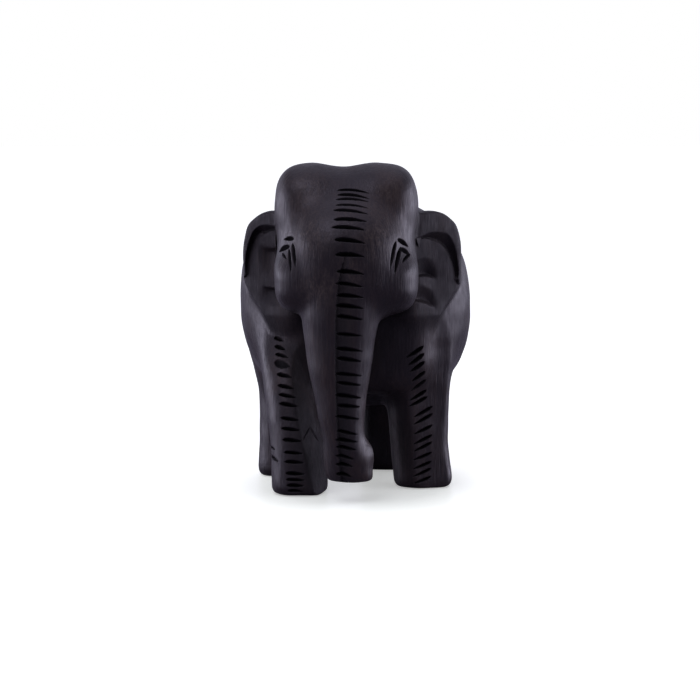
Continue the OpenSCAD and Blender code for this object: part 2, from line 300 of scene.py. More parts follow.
LEG_POWER = {"right_front_leg": 2.5, "left_front_leg": 2.4, "right_rear_leg": 3.0, "left_rear_leg": 4.0}
# Flat faces that the knife left, one (point, way it faces) each
LEG_FLATS = {
    "right_front_leg": [
        ((-12.1, -23.3, 12), (0.78, -0.57, 0.29)),
        ((-9.7, -18.9, 15.3), (0.95, -0.28, 0.14)),
    ],
    "left_front_leg": [((13.1, -12, 10), (-0.34, -0.94, 0)), ((13.1, -12, 10), (0.36, -0.93, 0.05))],
    "right_rear_leg": [],
    "left_rear_leg": [],
}


def leg_shape(node):
    foot_x, foot_y = FEET[node]
    side = math.copysign(1, foot_x)
    rows = [(z, side * x, foot_y + y, half, deep) for z, x, y, half, deep in LEG_ROWS[node]]
    return shaved(0.7, column(rows, LEG_POWER[node], base_rounding=2.8), *LEG_FLATS[node])


def foot_middle(node):
    """Middle of a leg's sole, from its lowest CAD vertices."""
    points = np.array([v.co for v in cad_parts[node].data.vertices]) / MM
    sole = points[points[:, 2] < 0.01]
    return (sole.min(0)[:2] + sole.max(0)[:2]) / 2


FEET = {n: foot_middle(n) for n in ("right_front_leg", "left_front_leg", "right_rear_leg", "left_rear_leg")}

# Ear outlines: reach outwards from the middle of the ears, and height. The same outline serves both ears.
# The lower edge of each ear's fold and the edge of its flap, with the dark hollow between them, differ from
# ear to ear. Side 1 is the left ear and side -1 the right one.
EAR_OUTLINE = [
    (10, EAR_TOP - 2), (14, EAR_TOP - 0.4), (18, EAR_TOP + 0.1), (20.7, EAR_TOP - 0.5), (22.9, EAR_TOP - 2),
    (24.2, EAR_TOP - 3.6), (25, EAR_TOP - 6.6), (EAR_REACH - 0.2, EAR_TOP - 10.5),
    (EAR_REACH - 0.3, EAR_TOP - 13.5), (EAR_REACH - 0.4, EAR_TOP - 16.6), (23.4, 45.2), (21.5, 42.4),
    (19.8, 39.2), (18, 36), (15.8, EAR_BOTTOM - 1.4), (12, EAR_BOTTOM - 1), (8, 38), (8, 52),
]
EAR_SPREAD = {1: 1.015, -1: 1}
# The rest of the way round both inner outlines, hidden by the head and below the ear
BELOW_FOLD = [(28, 44), (27, 28), (6, 28)]
FOLD_OUTLINE = {
    1: [
        (6, 57.5), (12, 58.4), (14.9, 59.1), (17.8, 60.3), (20, 60.3), (21.9, 59.8), (22.9, 58.6),
        (23.7, 56.8), (24.3, 54.2), (24.6, 50.9), (24.6, 48.2),
    ],
    -1: [
        (6, 60.6), (12, 61.2), (17.6, 61.8), (19.9, 62), (21.3, 61.7), (22.4, 60.9), (23.3, 59.5),
        (24, 57.4), (24.5, 55.4), (24.8, 52.3), (24.8, 50),
    ],
}
FLAP_OUTLINE = {
    1: [
        (6, 57.2), (12, 58.1), (14.9, 58.9), (17.1, 59), (19, 58.4), (20.5, 57.6), (21.9, 56.2),
        (22.7, 54.5), (23.4, 52.6), (24, 50.3), (24.5, 48),
    ],
    -1: [
        (6, 60), (12, 60.5), (17.9, 60.9), (19.9, 60.2), (21.1, 60.3), (21.9, 59.8), (22.7, 58.4),
        (23.3, 56.8), (23.9, 55), (24.4, 52.8), (24.7, 49.8),
    ],
}
# How far the hollow goes in behind the flap's edge
HOLLOW_DEPTH = 0.9
# Knife notches in an ear: reach and height of the sharp edge, half width, how far the hollow fades up (or
# down), and how much the edge drops outwards
EAR_NOTCHES = {
    1: [(16.4, 50.3, 3.4, 4, 0.05), (16, 44.3, 3.8, 3.6, 0.3)],
    -1: [(17.8, 56.2, 4, -6.8, 0.2), (17.4, 47.1, 3.8, -4, 0.1)],
}
NOTCH_DEPTH = 2.2


def step(value, width):
    """Rises from 0 to 1 where value passes 0, over a few times the width."""
    return 1 / (1 + np.exp(-np.clip(value / width, -30, 30)))


def ear_shape(side):
    whole = outline(EAR_OUTLINE)
    fold_edge = outline(FOLD_OUTLINE[side] + BELOW_FOLD)
    flap_edge = outline(FLAP_OUTLINE[side] + BELOW_FOLD)

    def shape(x, y, z):
        reach = side * (x - EAR_X) / EAR_SPREAD[side]
        fold_side, flap_side = fold_edge(reach, z), flap_edge(reach, z)
        out = reach - 14
        base = FACE_Y + 21.7 + 0.275 * out + 0.675 * np.sqrt(out**2 + 6.2)
        base = base + np.interp(z, [34.5, 41], [3.4, 0])
        lip = np.interp(z, [46, 50, 56, 61, 65], [0.2, 0.8, 1.6, 2, 2])
        climb = np.clip(flap_side / (flap_side - fold_side + 1e-6), 0, 1)
        in_hollow = step(-fold_side, 0.1) * step(flap_side, 0.1)
        front = base - lip * step(fold_side, 0.1) + in_hollow * (HOLLOW_DEPTH - (HOLLOW_DEPTH + lip) * climb)
        front = front + 0.9 * np.exp(-(((reach - 18) / 4) ** 2) - ((z - 49) / 8) ** 2)
        for at, edge, half, fade, drop in EAR_NOTCHES[side]:
            across = (reach - at) / half
            t = (z - edge + drop * (reach - at)) / fade + 0.3 * across**2
            wide = np.maximum(1 - across**2, 0) ** 2
            front = front + NOTCH_DEPTH * wide * step(t, 0.03) * np.maximum(1 - t, 0) ** 0.9
        slab = np.maximum((front - y) * 0.75, (y - base - 4.6) * 0.72)
        return smooth_max(whole(reach, z), slab, 0.9)

    return shape


def tail_shape():
    return tube(
        [
            (-1, RUMP_Y - 11, 60, 2.4), (-1, RUMP_Y - 4.6, 55.5, 2.4), (-1, RUMP_Y - 1.1, 50, 2.1),
            (-1, RUMP_Y, 43, 1.8), (-1, RUMP_Y - 0.1, 36, 1.6), (-1, RUMP_Y - 1.4, 30, 2),
            (-1, RUMP_Y - 3, 26, 2.4), (-1, RUMP_Y - 4.8, 22.4, 0.9),
        ],
        flatten=1.15,
    )


# One form for each CAD node. The mesh is divided in this order, so the torso keeps what the others leave.
FORMS = {
    "trunk": trunk_shape(),
    "left_ear": ear_shape(1),
    "right_ear": ear_shape(-1),
    "tail": tail_shape(),
    **{node: leg_shape(node) for node in FEET},
    "head": head_shape(),
    "torso": torso_shape(),
}
# How wide each form blends into the rest
LEG_BLEND = 4.5
TRUNK_BLEND = 2.0
NECK_BLEND = 3.0
EAR_BLEND = 1.2
TAIL_BLEND = 1.2
SOLE_EDGE = 0.5
# Height of the low waves that the knife left all over
KNIFE_WAVE = 0.09


def figure(x, y, z):
    """The whole figure without its cuts."""
    body = FORMS["torso"](x, y, z)
    for leg in FEET:
        body = smooth_min(body, FORMS[leg](x, y, z), LEG_BLEND)
    head = smooth_min(FORMS["head"](x, y, z), FORMS["trunk"](x, y, z), TRUNK_BLEND)
    body = smooth_min(body, head, NECK_BLEND)
    for ear in ("left_ear", "right_ear"):
        body = smooth_min(body, FORMS[ear](x, y, z), EAR_BLEND)
    body = smooth_min(body, FORMS["tail"](x, y, z), TAIL_BLEND)
    waves = np.sin(x * 0.62 + z * 0.31) * np.sin(y * 0.55 - z * 0.43 + 1.1)
    body = body + KNIFE_WAVE * (waves * np.sin(z * 0.37 + y * 0.21 - x * 0.28))
    return smooth_max(body, -z, SOLE_EDGE)


# ---------------------------------------------------------------- meshing


def net(field, lines):
    """Surface net of a grid of distances: points, and triangles that face outward."""
    inside = field < 0
    corners = np.array([(i, j, k) for i in (0, 1) for j in (0, 1) for k in (0, 1)])
    count = np.zeros(np.array(field.shape) - 1, np.int8)
    for corner in corners:
        count += inside[tuple(slice(c, n - 1 + c) for c, n in zip(corner, field.shape))]
    cells = np.argwhere((count > 0) & (count < 8))
    values = np.stack([field[tuple((cells + corner).T)] for corner in corners], 1)
    total = np.zeros((len(cells), 3))
    crossings = np.zeros((len(cells), 1))
    for a in range(8):
        for b in range(a + 1, 8):
            if np.abs(corners[a] - corners[b]).sum() != 1:
                continue
            va, vb = values[:, a], values[:, b]
            cross = (va < 0) != (vb < 0)
            t = np.where(cross, va / np.where(cross, va - vb, 1), 0)[:, None]
            total += np.where(cross[:, None], corners[a] + t * (corners[b] - corners[a]), 0)
            crossings += cross[:, None]
    start = np.array([line[0] for line in lines])
    points = start + (cells + total / crossings) * GRID_STEP
    number = np.full(np.array(field.shape) - 1, -1)
    number[tuple(cells.T)] = np.arange(len(cells))
    triangles = []
    for axis in range(3):
        u, v = [other for other in range(3) if other != axis]
        low = inside[tuple(slice(0, -1) if i == axis else slice(None) for i in range(3))]
        high = inside[tuple(slice(1, None) if i == axis else slice(None) for i in range(3))]
        edges = np.argwhere(low != high)
        leaves = low[tuple(edges.T)]
        quad = []
        for du, dv in ((1, 1), (0, 1), (0, 0), (1, 0)):
            cell = edges.copy()
            cell[:, u] -= du
            cell[:, v] -= dv
            quad.append(number[tuple(cell.T)])
        quad = np.stack(quad, 1)
        flip = leaves if axis == 1 else ~leaves
        quad[flip] = quad[flip][:, ::-1]
        triangles += [quad[:, [0, 1, 2]], quad[:, [0, 2, 3]]]
    return points, np.vstack(triangles)


def slopes(points, reach=0.04):
    """Distance, unit gradient and the gradient's length, for the figure at each point."""
    x, y, z = points.T.astype(np.float64)
    here = figure(x, y, z)
    ahead = [figure(x + reach, y, z), figure(x, y + reach, z), figure(x, y, z + reach)]
    rise = np.stack([field - here for field in ahead], 1) / reach
    size = np.linalg.norm(rise, axis=1, keepdims=True) + 1e-9
    return here, rise / size, size[:, 0]


def settle(points, passes=2):
    """Moves points onto the figure's surface."""
    for _ in range(passes):
        here, normal, size = slopes(points)
        points = points - normal * np.clip(here / size, -GRID_STEP, GRID_STEP)[:, None]
    return points


def edge_keys(triangles, count):
    """Each edge once, and the edges of each triangle."""
    pairs = np.sort(np.stack([triangles, np.roll(triangles, -1, 1)], 2).reshape(-1, 2), 1)
    keys, where = np.unique(pairs[:, 0] * count + pairs[:, 1], return_inverse=True)
    return np.stack([keys // count, keys % count], 1), where.reshape(-1, 3)


def split_edges(points, triangles, wanted):
    """Divides the triangles at the middle of each edge that wanted(points, triangles, edges) picks."""
    edges, where = edge_keys(triangles, len(points))
    marked = wanted(points, triangles, edges)
    new = np.full(len(edges), -1)
    new[marked] = len(points) + np.arange(marked.sum())
    points = np.vstack([points, points[edges[marked]].mean(1)])
    middles = new[where]
    made = []
    marks = (middles >= 0).sum(1)
    made.append(triangles[marks == 0])
    for turn in range(3):
        corner = np.roll(triangles, -turn, 1)
        middle = np.roll(middles, -turn, 1)
        one = (marks == 1) & (middle[:, 0] >= 0)
        t, m = corner[one], middle[one]
        made += [np.stack([t[:, 0], m[:, 0], t[:, 2]], 1), np.stack([m[:, 0], t[:, 1], t[:, 2]], 1)]
        two = (marks == 2) & (middle[:, 2] < 0)
        t, m = corner[two], middle[two]
        made += [
            np.stack([m[:, 0], t[:, 1], m[:, 1]], 1),
            np.stack([t[:, 0], m[:, 0], m[:, 1]], 1),
            np.stack([t[:, 0], m[:, 1], t[:, 2]], 1),
        ]
    t, m = triangles[marks == 3], middles[marks == 3]
    made += [
        np.stack([t[:, 0], m[:, 0], m[:, 2]], 1),
        np.stack([m[:, 0], t[:, 1], m[:, 1]], 1),
        np.stack([m[:, 2], m[:, 1], t[:, 2]], 1),
        m,
    ]
    return points, np.vstack(made)


def edge_lengths(points, edges):
    return np.linalg.norm(points[edges[:, 0]] - points[edges[:, 1]], axis=1)


def vertex_normals(points, triangles):
    a, b, c = points[triangles[:, 0]], points[triangles[:, 1]], points[triangles[:, 2]]
    face = np.cross(b - a, c - a)
    normals = np.zeros_like(points)
    for i in range(3):
        for axis in range(3):
            normals[:, axis] += np.bincount(triangles[:, i], face[:, axis], len(points))
    return normals / (np.linalg.norm(normals, axis=1, keepdims=True) + 1e-12)


# ---------------------------------------------------------------- knife cuts
# A cut is (x, z of one end, x, z of the other, width, depth, bend), as seen from the front.

FACE_CUT_HEIGHTS = [
    70.3, 69.3, 68.3, 67.1, 66, 64, 62.3, 59.6, 56.3, 52.6, 49.9, 47.2, 45, 42.6, 38.6, 35.4, 33.2, 29.7,
    27.7, 25, 22.6, 20.1, 16.8, 14.8, 13.2, 11.2, 9.2, 7,
]
RIGHT_LEG_CUT_HEIGHTS = [
    35.3, 33.4, 31.7, 27.3, 24.8, 22.8, 20.8, 17.6, 15.3, 12.8, 10, 7.9, 5.3, 3.9, 2.6, 1.3,
]
LEFT_LEG_CUT_HEIGHTS = [
    32.5, 30.7, 29, 26.7, 24.5, 22, 20.5, 18.1, 16.4, 13.9, 11.6, 9.9, 7.7, 5.6, 3.9, 2.1,
]


# No two cuts of a row are quite alike: each row's sines vary them from cut to cut.


def face_cuts():
    for i, z in enumerate(FACE_CUT_HEIGHTS):
        start = np.interp(z, [10, 56, 62, 66, 69], [-4.5, -4.4, -5.2, -4.9, -4.2])
        start = start + 0.15 * math.sin(i * 2.9)
        end = np.interp(z, [7, 10, 13, 17, 22, 47, 60, 70], [-0.7, -0.4, 0.35, 0.5, 1.2, 1.8, 2.3, 3.3])
        drop = 0.65 + 0.2 * math.sin(i * 2.1)
        bend = np.interp(z, [40, 70], [0.12, 0.45])
        width = np.interp(z, [12, 50, 60, 65, 70], [0.85, 0.95, 1.0, 0.6, 0.5]) + 0.1 * math.sin(i * 1.7)
        yield (start, z + 0.1, end, z - drop, width, 0.7 + 1.1 * width, bend)


def right_leg_cuts():
    for i, z in enumerate(RIGHT_LEG_CUT_HEIGHTS):
        start = np.interp(z, [1, 35], [-15.6, -18.9])
        end = np.interp(z, [1, 6, 12, 20, 27, 31, 35], [-11.9, -11.3, -12.1, -13, -14.4, -15.1, -16.7])
        drop = np.interp(z, [2, 12, 20], [0.15, 0.35, 0.75])
        width = 0.8 + 0.1 * math.sin(i * 2.3)
        yield (start, z + drop / 2, end, z - drop / 2, width, 1.6, 0.1)
    # The wide nick, the two strokes on the outer side, and the shallow V on the inner side
    yield (-18.8, 30.3, -14.8, 29.4, 1.9, 0.7, 0)
    yield (-20.6, 11.3, -18.3, 10.4, 0.7, 0.6, 0)
    yield (-20.6, 9.3, -17.6, 7.8, 0.9, 0.7, 0)
    yield (-10.5, 15.6, -12.2, 12.8, 0.4, 0.3, 0)
    yield (-10.5, 15.6, -8.4, 11.6, 0.4, 0.3, 0)


def left_leg_cuts():
    for i, z in enumerate(LEFT_LEG_CUT_HEIGHTS):
        start = np.interp(z, [2, 18, 20, 24, 27, 32.5], [13.6, 13.9, 12.5, 13.2, 13.4, 12])
        end = np.interp(z, [2, 18, 20, 32.5], [17.7, 18.1, 16.8, 15.8])
        rise = np.interp(z, [3, 17, 32], [1.6, 2.3, 2.5]) + 0.2 * math.sin(i * 1.9)
        width = np.interp(z, [3, 20, 30], [0.65, 0.75, 0.95])
        yield (end, z + rise / 2, start - 0.4, z - rise / 2, width, 1.3, -0.05)


# The eyes: brow, lid, and the two long wrinkles in front of each
EYE_CUTS = [
    (-13.8, 59.7, -16.2, 59.3, 0.85, 1.2, 0.1),
    (-14.8, 58, -17.3, 56.4, 1.0, 1.3, 0.2),
    (-14.95, 57.4, -14.4, 52, 0.6, 0.9, 0.0),
    (-14.1, 58.7, -13.4, 53.2, 0.8, 0.9, 0.0),
    (-16.5, 56.3, -15.4, 55, 0.5, 0.7, 0.0),
    (9.4, 59.6, 11.9, 57.7, 0.9, 1.3, 0.1),
    (9.05, 59.2, 7.7, 53, 0.8, 1.1, 0.1),
    (10, 57.5, 12.3, 55.8, 0.9, 1.3, 0.1),
    (12.3, 56.1, 10.4, 54.2, 0.75, 1.1, 0.25),
    (10.1, 57.8, 8.7, 51.8, 0.9, 1.2, 0.1),
]
# The narrow face planed down the middle of the trunk, from the forehead to past the tip
STRIP_DEPTH = 0.8
TRUNK_STRIP = [(-2.1, 57, -2.1, -8, 5, STRIP_DEPTH, 0)]


def cut_depth(points, cuts, spread=0.0, lean=0.45, curve=0.6):
    """How deep the deepest of the cuts is at each point.

    A cut is blunt at its first end and pointed at the other.
    spread widens the cuts, to find what lies round them. lean is how far a cut's bottom lies to one side.
    curve below 1 makes the walls steep at the surface and the bottom round.
    """
    deepest = np.zeros(len(points))
    for x0, z0, x1, z1, width, depth, bend in cuts:
        run = np.array([x1 - x0, z1 - z0])
        half = np.linalg.norm(run) / 2
        along = run / half / 2
        dx, dz = points[:, 0] - (x0 + x1) / 2, points[:, 2] - (z0 + z1) / 2
        u = np.clip((dx * along[0] + dz * along[1]) / (half + spread), -1, 1)
        v = math.copysign(1, along[0]) * (dz * along[0] - dx * along[1]) - bend * (1 - u**2)
        full = np.clip(1 - np.abs(u + 0.32 * (1 - u**2)) ** 3, 0, 1)
        thick = np.maximum(width / 2 * full + spread * (np.abs(u) < 1), 1e-6)
        bottom = -lean * thick
        wall = np.where(v > bottom, (thick - v) / (thick - bottom), (v + thick) / (bottom + thick))
        deepest = np.maximum(deepest, depth * np.clip(wall, 0, 1) ** curve * np.sqrt(full))
    return deepest


# Each group of cuts and the forms that it is cut in
CUT_GROUPS = [
    (list(face_cuts()) + EYE_CUTS, ("head", "trunk")),
    (list(right_leg_cuts()), ("right_front_leg", "torso")),
    (list(left_leg_cuts()), ("left_front_leg", "torso")),
]
STRIP_GROUP = [(TRUNK_STRIP, ("head", "trunk"))]
STRIP_PROFILE = {"lean": 0.92, "curve": 1.0}
# The knife cuts where a surface faces forward by at least this share
FACING = 0.12
# How far a form's own surface may lie below the figure's, where the two are blended
FORM_REACH = 1.2


def press_depth(groups, points, normals, spread=0.0, **profile):
    """How far the knife goes in at each point.

    It cuts wood of its forms that faces forward, and also where another form hides it from the front.
    """
    total = np.zeros(len(points))
    for cuts, forms in groups:
        flat = np.array(cuts)
        low_z, high_z = flat[:, [1, 3]].min() - 1, flat[:, [1, 3]].max() + 1
        near = np.flatnonzero((normals[:, 1] < -FACING) & (points[:, 2] > low_z) & (points[:, 2] < high_z))
        x, y, z = points[near].T
        near = near[np.min([FORMS[form](x, y, z) for form in forms], axis=0) < FORM_REACH]
        total[near] = np.maximum(total[near], cut_depth(points[near], cuts, spread, **profile))
    return total


# ---------------------------------------------------------------- division into pieces


def clip(points, triangles, data, field):
    """Divides a mesh where field crosses zero.

    Gives the points and their data with the new ones, and the triangles of the inner and the outer side.
    """
    field = np.where(np.abs(field) < 1e-7, 1e-7, field)
    edges, where = edge_keys(triangles, len(points))
    a, b = edges.T
    crossed = (field[a] < 0) != (field[b] < 0)
    t = (field[a] / np.where(crossed, field[a] - field[b], 1))[crossed, None]
    new = np.full(len(edges), -1)
    new[crossed] = len(points) + np.arange(crossed.sum())
    points = np.vstack([points, points[a[crossed]] * (1 - t) + points[b[crossed]] * t])
    data = np.vstack([data, data[a[crossed]] * (1 - t) + data[b[crossed]] * t])
    signs = field[triangles] < 0
    inner = [triangles[signs.all(1)]]
    outer = [triangles[~signs.any(1)]]
    middles = new[where]
    for turn in range(3):
        corner, middle, sign = (np.roll(v, -turn, 1) for v in (triangles, middles, signs))
        for lone_inside, lone_list, pair_list in ((True, inner, outer), (False, outer, inner)):
            lone = (sign[:, 0] == lone_inside) & (sign[:, 1] != lone_inside) & (sign[:, 2] != lone_inside)
            c, m = corner[lone], middle[lone]
            lone_list.append(np.stack([c[:, 0], m[:, 0], m[:, 2]], 1))
            pair_list.append(np.stack([m[:, 0], c[:, 1], c[:, 2]], 1))
            pair_list.append(np.stack([m[:, 0], c[:, 2], m[:, 2]], 1))
    return points, data, np.vstack(inner), np.vstack(outer)


def rim_loops(triangles):
    """Loops of points round each open rim, in the order that a cap's faces take them."""
    directed = np.vstack([triangles[:, [0, 1]], triangles[:, [1, 2]], triangles[:, [2, 0]]])
    known = set(map(tuple, directed.tolist()))
    after = {}
    for a, b in known:
        if (b, a) not in known:
            after.setdefault(b, []).append(a)
    loops = []
    while after:
        first = next(iter(after))
        loop = [first]
        while True:
            ways = after[loop[-1]]
            onward = ways.pop()
            if not ways:
                del after[loop[-1]]
            if onward == first or onward not in after:
                break
            loop.append(onward)
        loops.append(loop)
    return loops


def capped(points, triangles):
    """Points and triangles of one piece, with each rim closed by a fan to its middle.

    Gives the number of triangles in the fans too. They come last.
    """
    fans = [np.empty((0, 3), int)]
    for loop in rim_loops(triangles):
        ring = np.array(loop)
        fans.append(np.stack([ring, np.roll(ring, -1), np.full(len(ring), len(points))], 1))
        points = np.vstack([points, points[ring].mean(0)])
    fans = np.vstack(fans)
    return points, np.vstack([triangles, fans]), len(fans)


# Painted pools of light, lighter brown where the front light falls on the domes, brow and face: middle and
# radius
PAINTED_LIGHT_SPOTS = [
    ((HEAD_X - 8.4, FACE_Y + 10, 70.6), 3.8),
    ((HEAD_X + 9.6, FACE_Y + 10, 70.8), 3.4),
    ((HEAD_X - 7.8, FACE_Y + 3.6, 60.5), 4.6),
    ((HEAD_X + 6.6, FACE_Y + 2.6, 60), 4.4),
    ((-1, FACE_Y + 1, 52.6), 3.2),
    ((-7.6, FACE_Y + 2.4, 49), 4.2),
]

# The ears are less polished than the rest, so rougher, and their colour is painted darker as painted shade
EAR_DULLING_AND_SHADE = 0.5

# An edge is divided where the wood turns by more than the angle with this cosine
SHARP_TURN = 0.94
# How far round the cuts and the strip the mesh is made finer, and how deep the strip has to be there
CUT_MARGIN = 0.4
STRIP_MARGIN = 0.1
STRIP_SIDE = 0.4


def bent(points, triangles, edges):
    """Edges where the wood turns sharply."""
    normals = vertex_normals(points, triangles)
    turn = (normals[edges[:, 0]] * normals[edges[:, 1]]).sum(1)
    return (turn < SHARP_TURN) & (edge_lengths(points, edges) > FINE_EDGE)


def beside_cut(points, triangles, edges):
    """Edges in and round the knife cuts."""
    normals = vertex_normals(points, triangles)
    near = press_depth(CUT_GROUPS, points, normals, CUT_MARGIN) > 0
    near |= press_depth(STRIP_GROUP, points, normals, STRIP_MARGIN, **STRIP_PROFILE) > STRIP_SIDE
    return (near[edges[:, 0]] | near[edges[:, 1]]) & (edge_lengths(points, edges) > FINE_EDGE)


def smooth_mesh():
    """Points and triangles of the uncut figure, finer where it bends and where the cuts will be."""
    low = np.array(cad_box[0]) / MM - GRID_MARGIN
    high = np.array(cad_box[1]) / MM + GRID_MARGIN
    lines = [np.arange(a, b, GRID_STEP).astype(np.float32) for a, b in zip(low, high)]
    grid = figure(lines[0][:, None, None], lines[1][None, :, None], lines[2][None, None, :])
    points, triangles = net(grid, lines)
    points = settle(points)
    for wanted in (bent, beside_cut, bent, beside_cut):
        points, triangles = split_edges(points, triangles, wanted)
        points = settle(points, 1)
    return points, triangles


# How far out the room in front of each point is measured: for creases, and for the spaces under the body.
# SPACE_LEAST is the openness left where the far point just touches wood.
# Low openness paints shade into the wood's colour: painted shade in creases and in the spaces under the body
CREASE_PROBE = 1.1
SPACE_PROBE = 14
SPACE_LEAST = 0.2
# How much painted shade the strip down the trunk takes from its openness, at its deepest
STRIP_SHADE = 0.4


def openness_at(points, normals, strip_depth):
    """How open each point is: 1 in the open, less in creases, in the spaces under the body, down the trunk's
    strip and on the dull ears. The material paints shade where it is low.
    """
    x, y, z = (points + normals * CREASE_PROBE).T
    openness = figure(x, y, z) / CREASE_PROBE
    x, y, z = (points + normals * SPACE_PROBE).T
    openness = np.minimum(openness, SPACE_LEAST + figure(x, y, z) / SPACE_PROBE)
    openness = openness - STRIP_SHADE * np.sqrt(strip_depth / STRIP_DEPTH)
    x, y, z = points.T
    ear_away = np.minimum(FORMS["left_ear"](x, y, z), FORMS["right_ear"](x, y, z))
    return np.minimum(openness, 1 - EAR_DULLING_AND_SHADE * np.clip(1 - ear_away, 0, 1))


def carved_mesh():
    """Points and triangles of the figure with its cuts, and each point's row of data.

    A row holds the normal, the depth of the knife cuts, the openness, and how much painted light the point
    takes.
    """
    points, triangles = smooth_mesh()
    normals = vertex_normals(points, triangles)
    depth = press_depth(CUT_GROUPS, points, normals)
    strip_depth = press_depth(STRIP_GROUP, points, normals, **STRIP_PROFILE)
    points = points - normals * (depth + strip_depth)[:, None]
    normals = vertex_normals(points, triangles)
    openness = openness_at(points, normals, strip_depth)
    spots = [np.exp(-(((points - at) / radius) ** 2).sum(1)) for at, radius in PAINTED_LIGHT_SPOTS]
    painted_light = np.max(spots, axis=0)
    return points, triangles, np.hstack([normals, depth[:, None], openness[:, None], painted_light[:, None]])


def divide(points, triangles, data):
    """Points and data with those of the dividing lines, and the triangles of each form."""
    surfaces = {}
    waiting = list(FORMS)
    while len(waiting) > 1:
        x, y, z = points.T
        name = waiting.pop(0)
        others = np.min([FORMS[other](x, y, z) for other in waiting], axis=0)
        field = FORMS[name](x, y, z) - others
        points, data, surfaces[name], triangles = clip(points, triangles, data, field)
    surfaces[waiting[0]] = triangles
    return points, data, surfaces


points, triangles, data = carved_mesh()
points, data, surfaces = divide(points, triangles, data)

# ---------------------------------------------------------------- material
# Base colours: the wood's dark and light grain, the painted pools of light, and the painted shade in cuts
# and creases

EBONY = (0.0078, 0.0058, 0.0075, 1)
WALNUT = (0.024, 0.0155, 0.0135, 1)
PAINTED_LIGHT_BROWN = (0.05, 0.037, 0.031, 1)
PAINTED_SHADE = (0.0007, 0.0006, 0.0007, 1)
# How brown a streak of the grain is by itself, and how much painted shade a crease takes
STREAK_SHARE = 0.34
CREASE_SHADE_SHARE = 0.7
# How much rougher the places with painted shade are
HOLLOW_ROUGHNESS = 0.5


def add(tree, kind, inputs=None, **settings):
    """New shader node. inputs maps a socket to a value, or to the output that feeds it."""
    made = tree.nodes.new("ShaderNode" + kind)
    for name, value in settings.items():
        setattr(made, name, value)
    for socket, value in (inputs or {}).items():
        if isinstance(value, bpy.types.NodeSocket):
            tree.links.new(value, made.inputs[socket])
        else:
            made.inputs[socket].default_value = value
    return made


def remap(tree, value, low, high, to_low=0.0, to_high=1.0):
    """Straight-line change of a value, held at both ends."""
    spread = {"Value": value, "From Min": low, "From Max": high, "To Min": to_low, "To Max": to_high}
    return add(tree, "MapRange", spread, clamp=True).outputs["Result"]


def blend_colour(tree, factor, first, second):
    made = add(tree, "Mix", data_type="RGBA")
    for socket, value in ((0, factor), (6, first), (7, second)):
        if isinstance(value, bpy.types.NodeSocket):
            tree.links.new(value, made.inputs[socket])
        else:
            made.inputs[socket].default_value = value
    return made.outputs[2]


def math_node(tree, operation, a, b=0.0):
    return add(tree, "Math", {0: a, 1: b}, operation=operation).outputs[0]


def noise(tree, vector, scale, detail=2.0, roughness=0.5, distortion=0.0):
    inputs = {"Vector": vector, "Scale": scale, "Detail": detail, "Roughness": roughness}
    inputs["Distortion"] = distortion
    return add(tree, "TexNoise", inputs).outputs["Fac"]


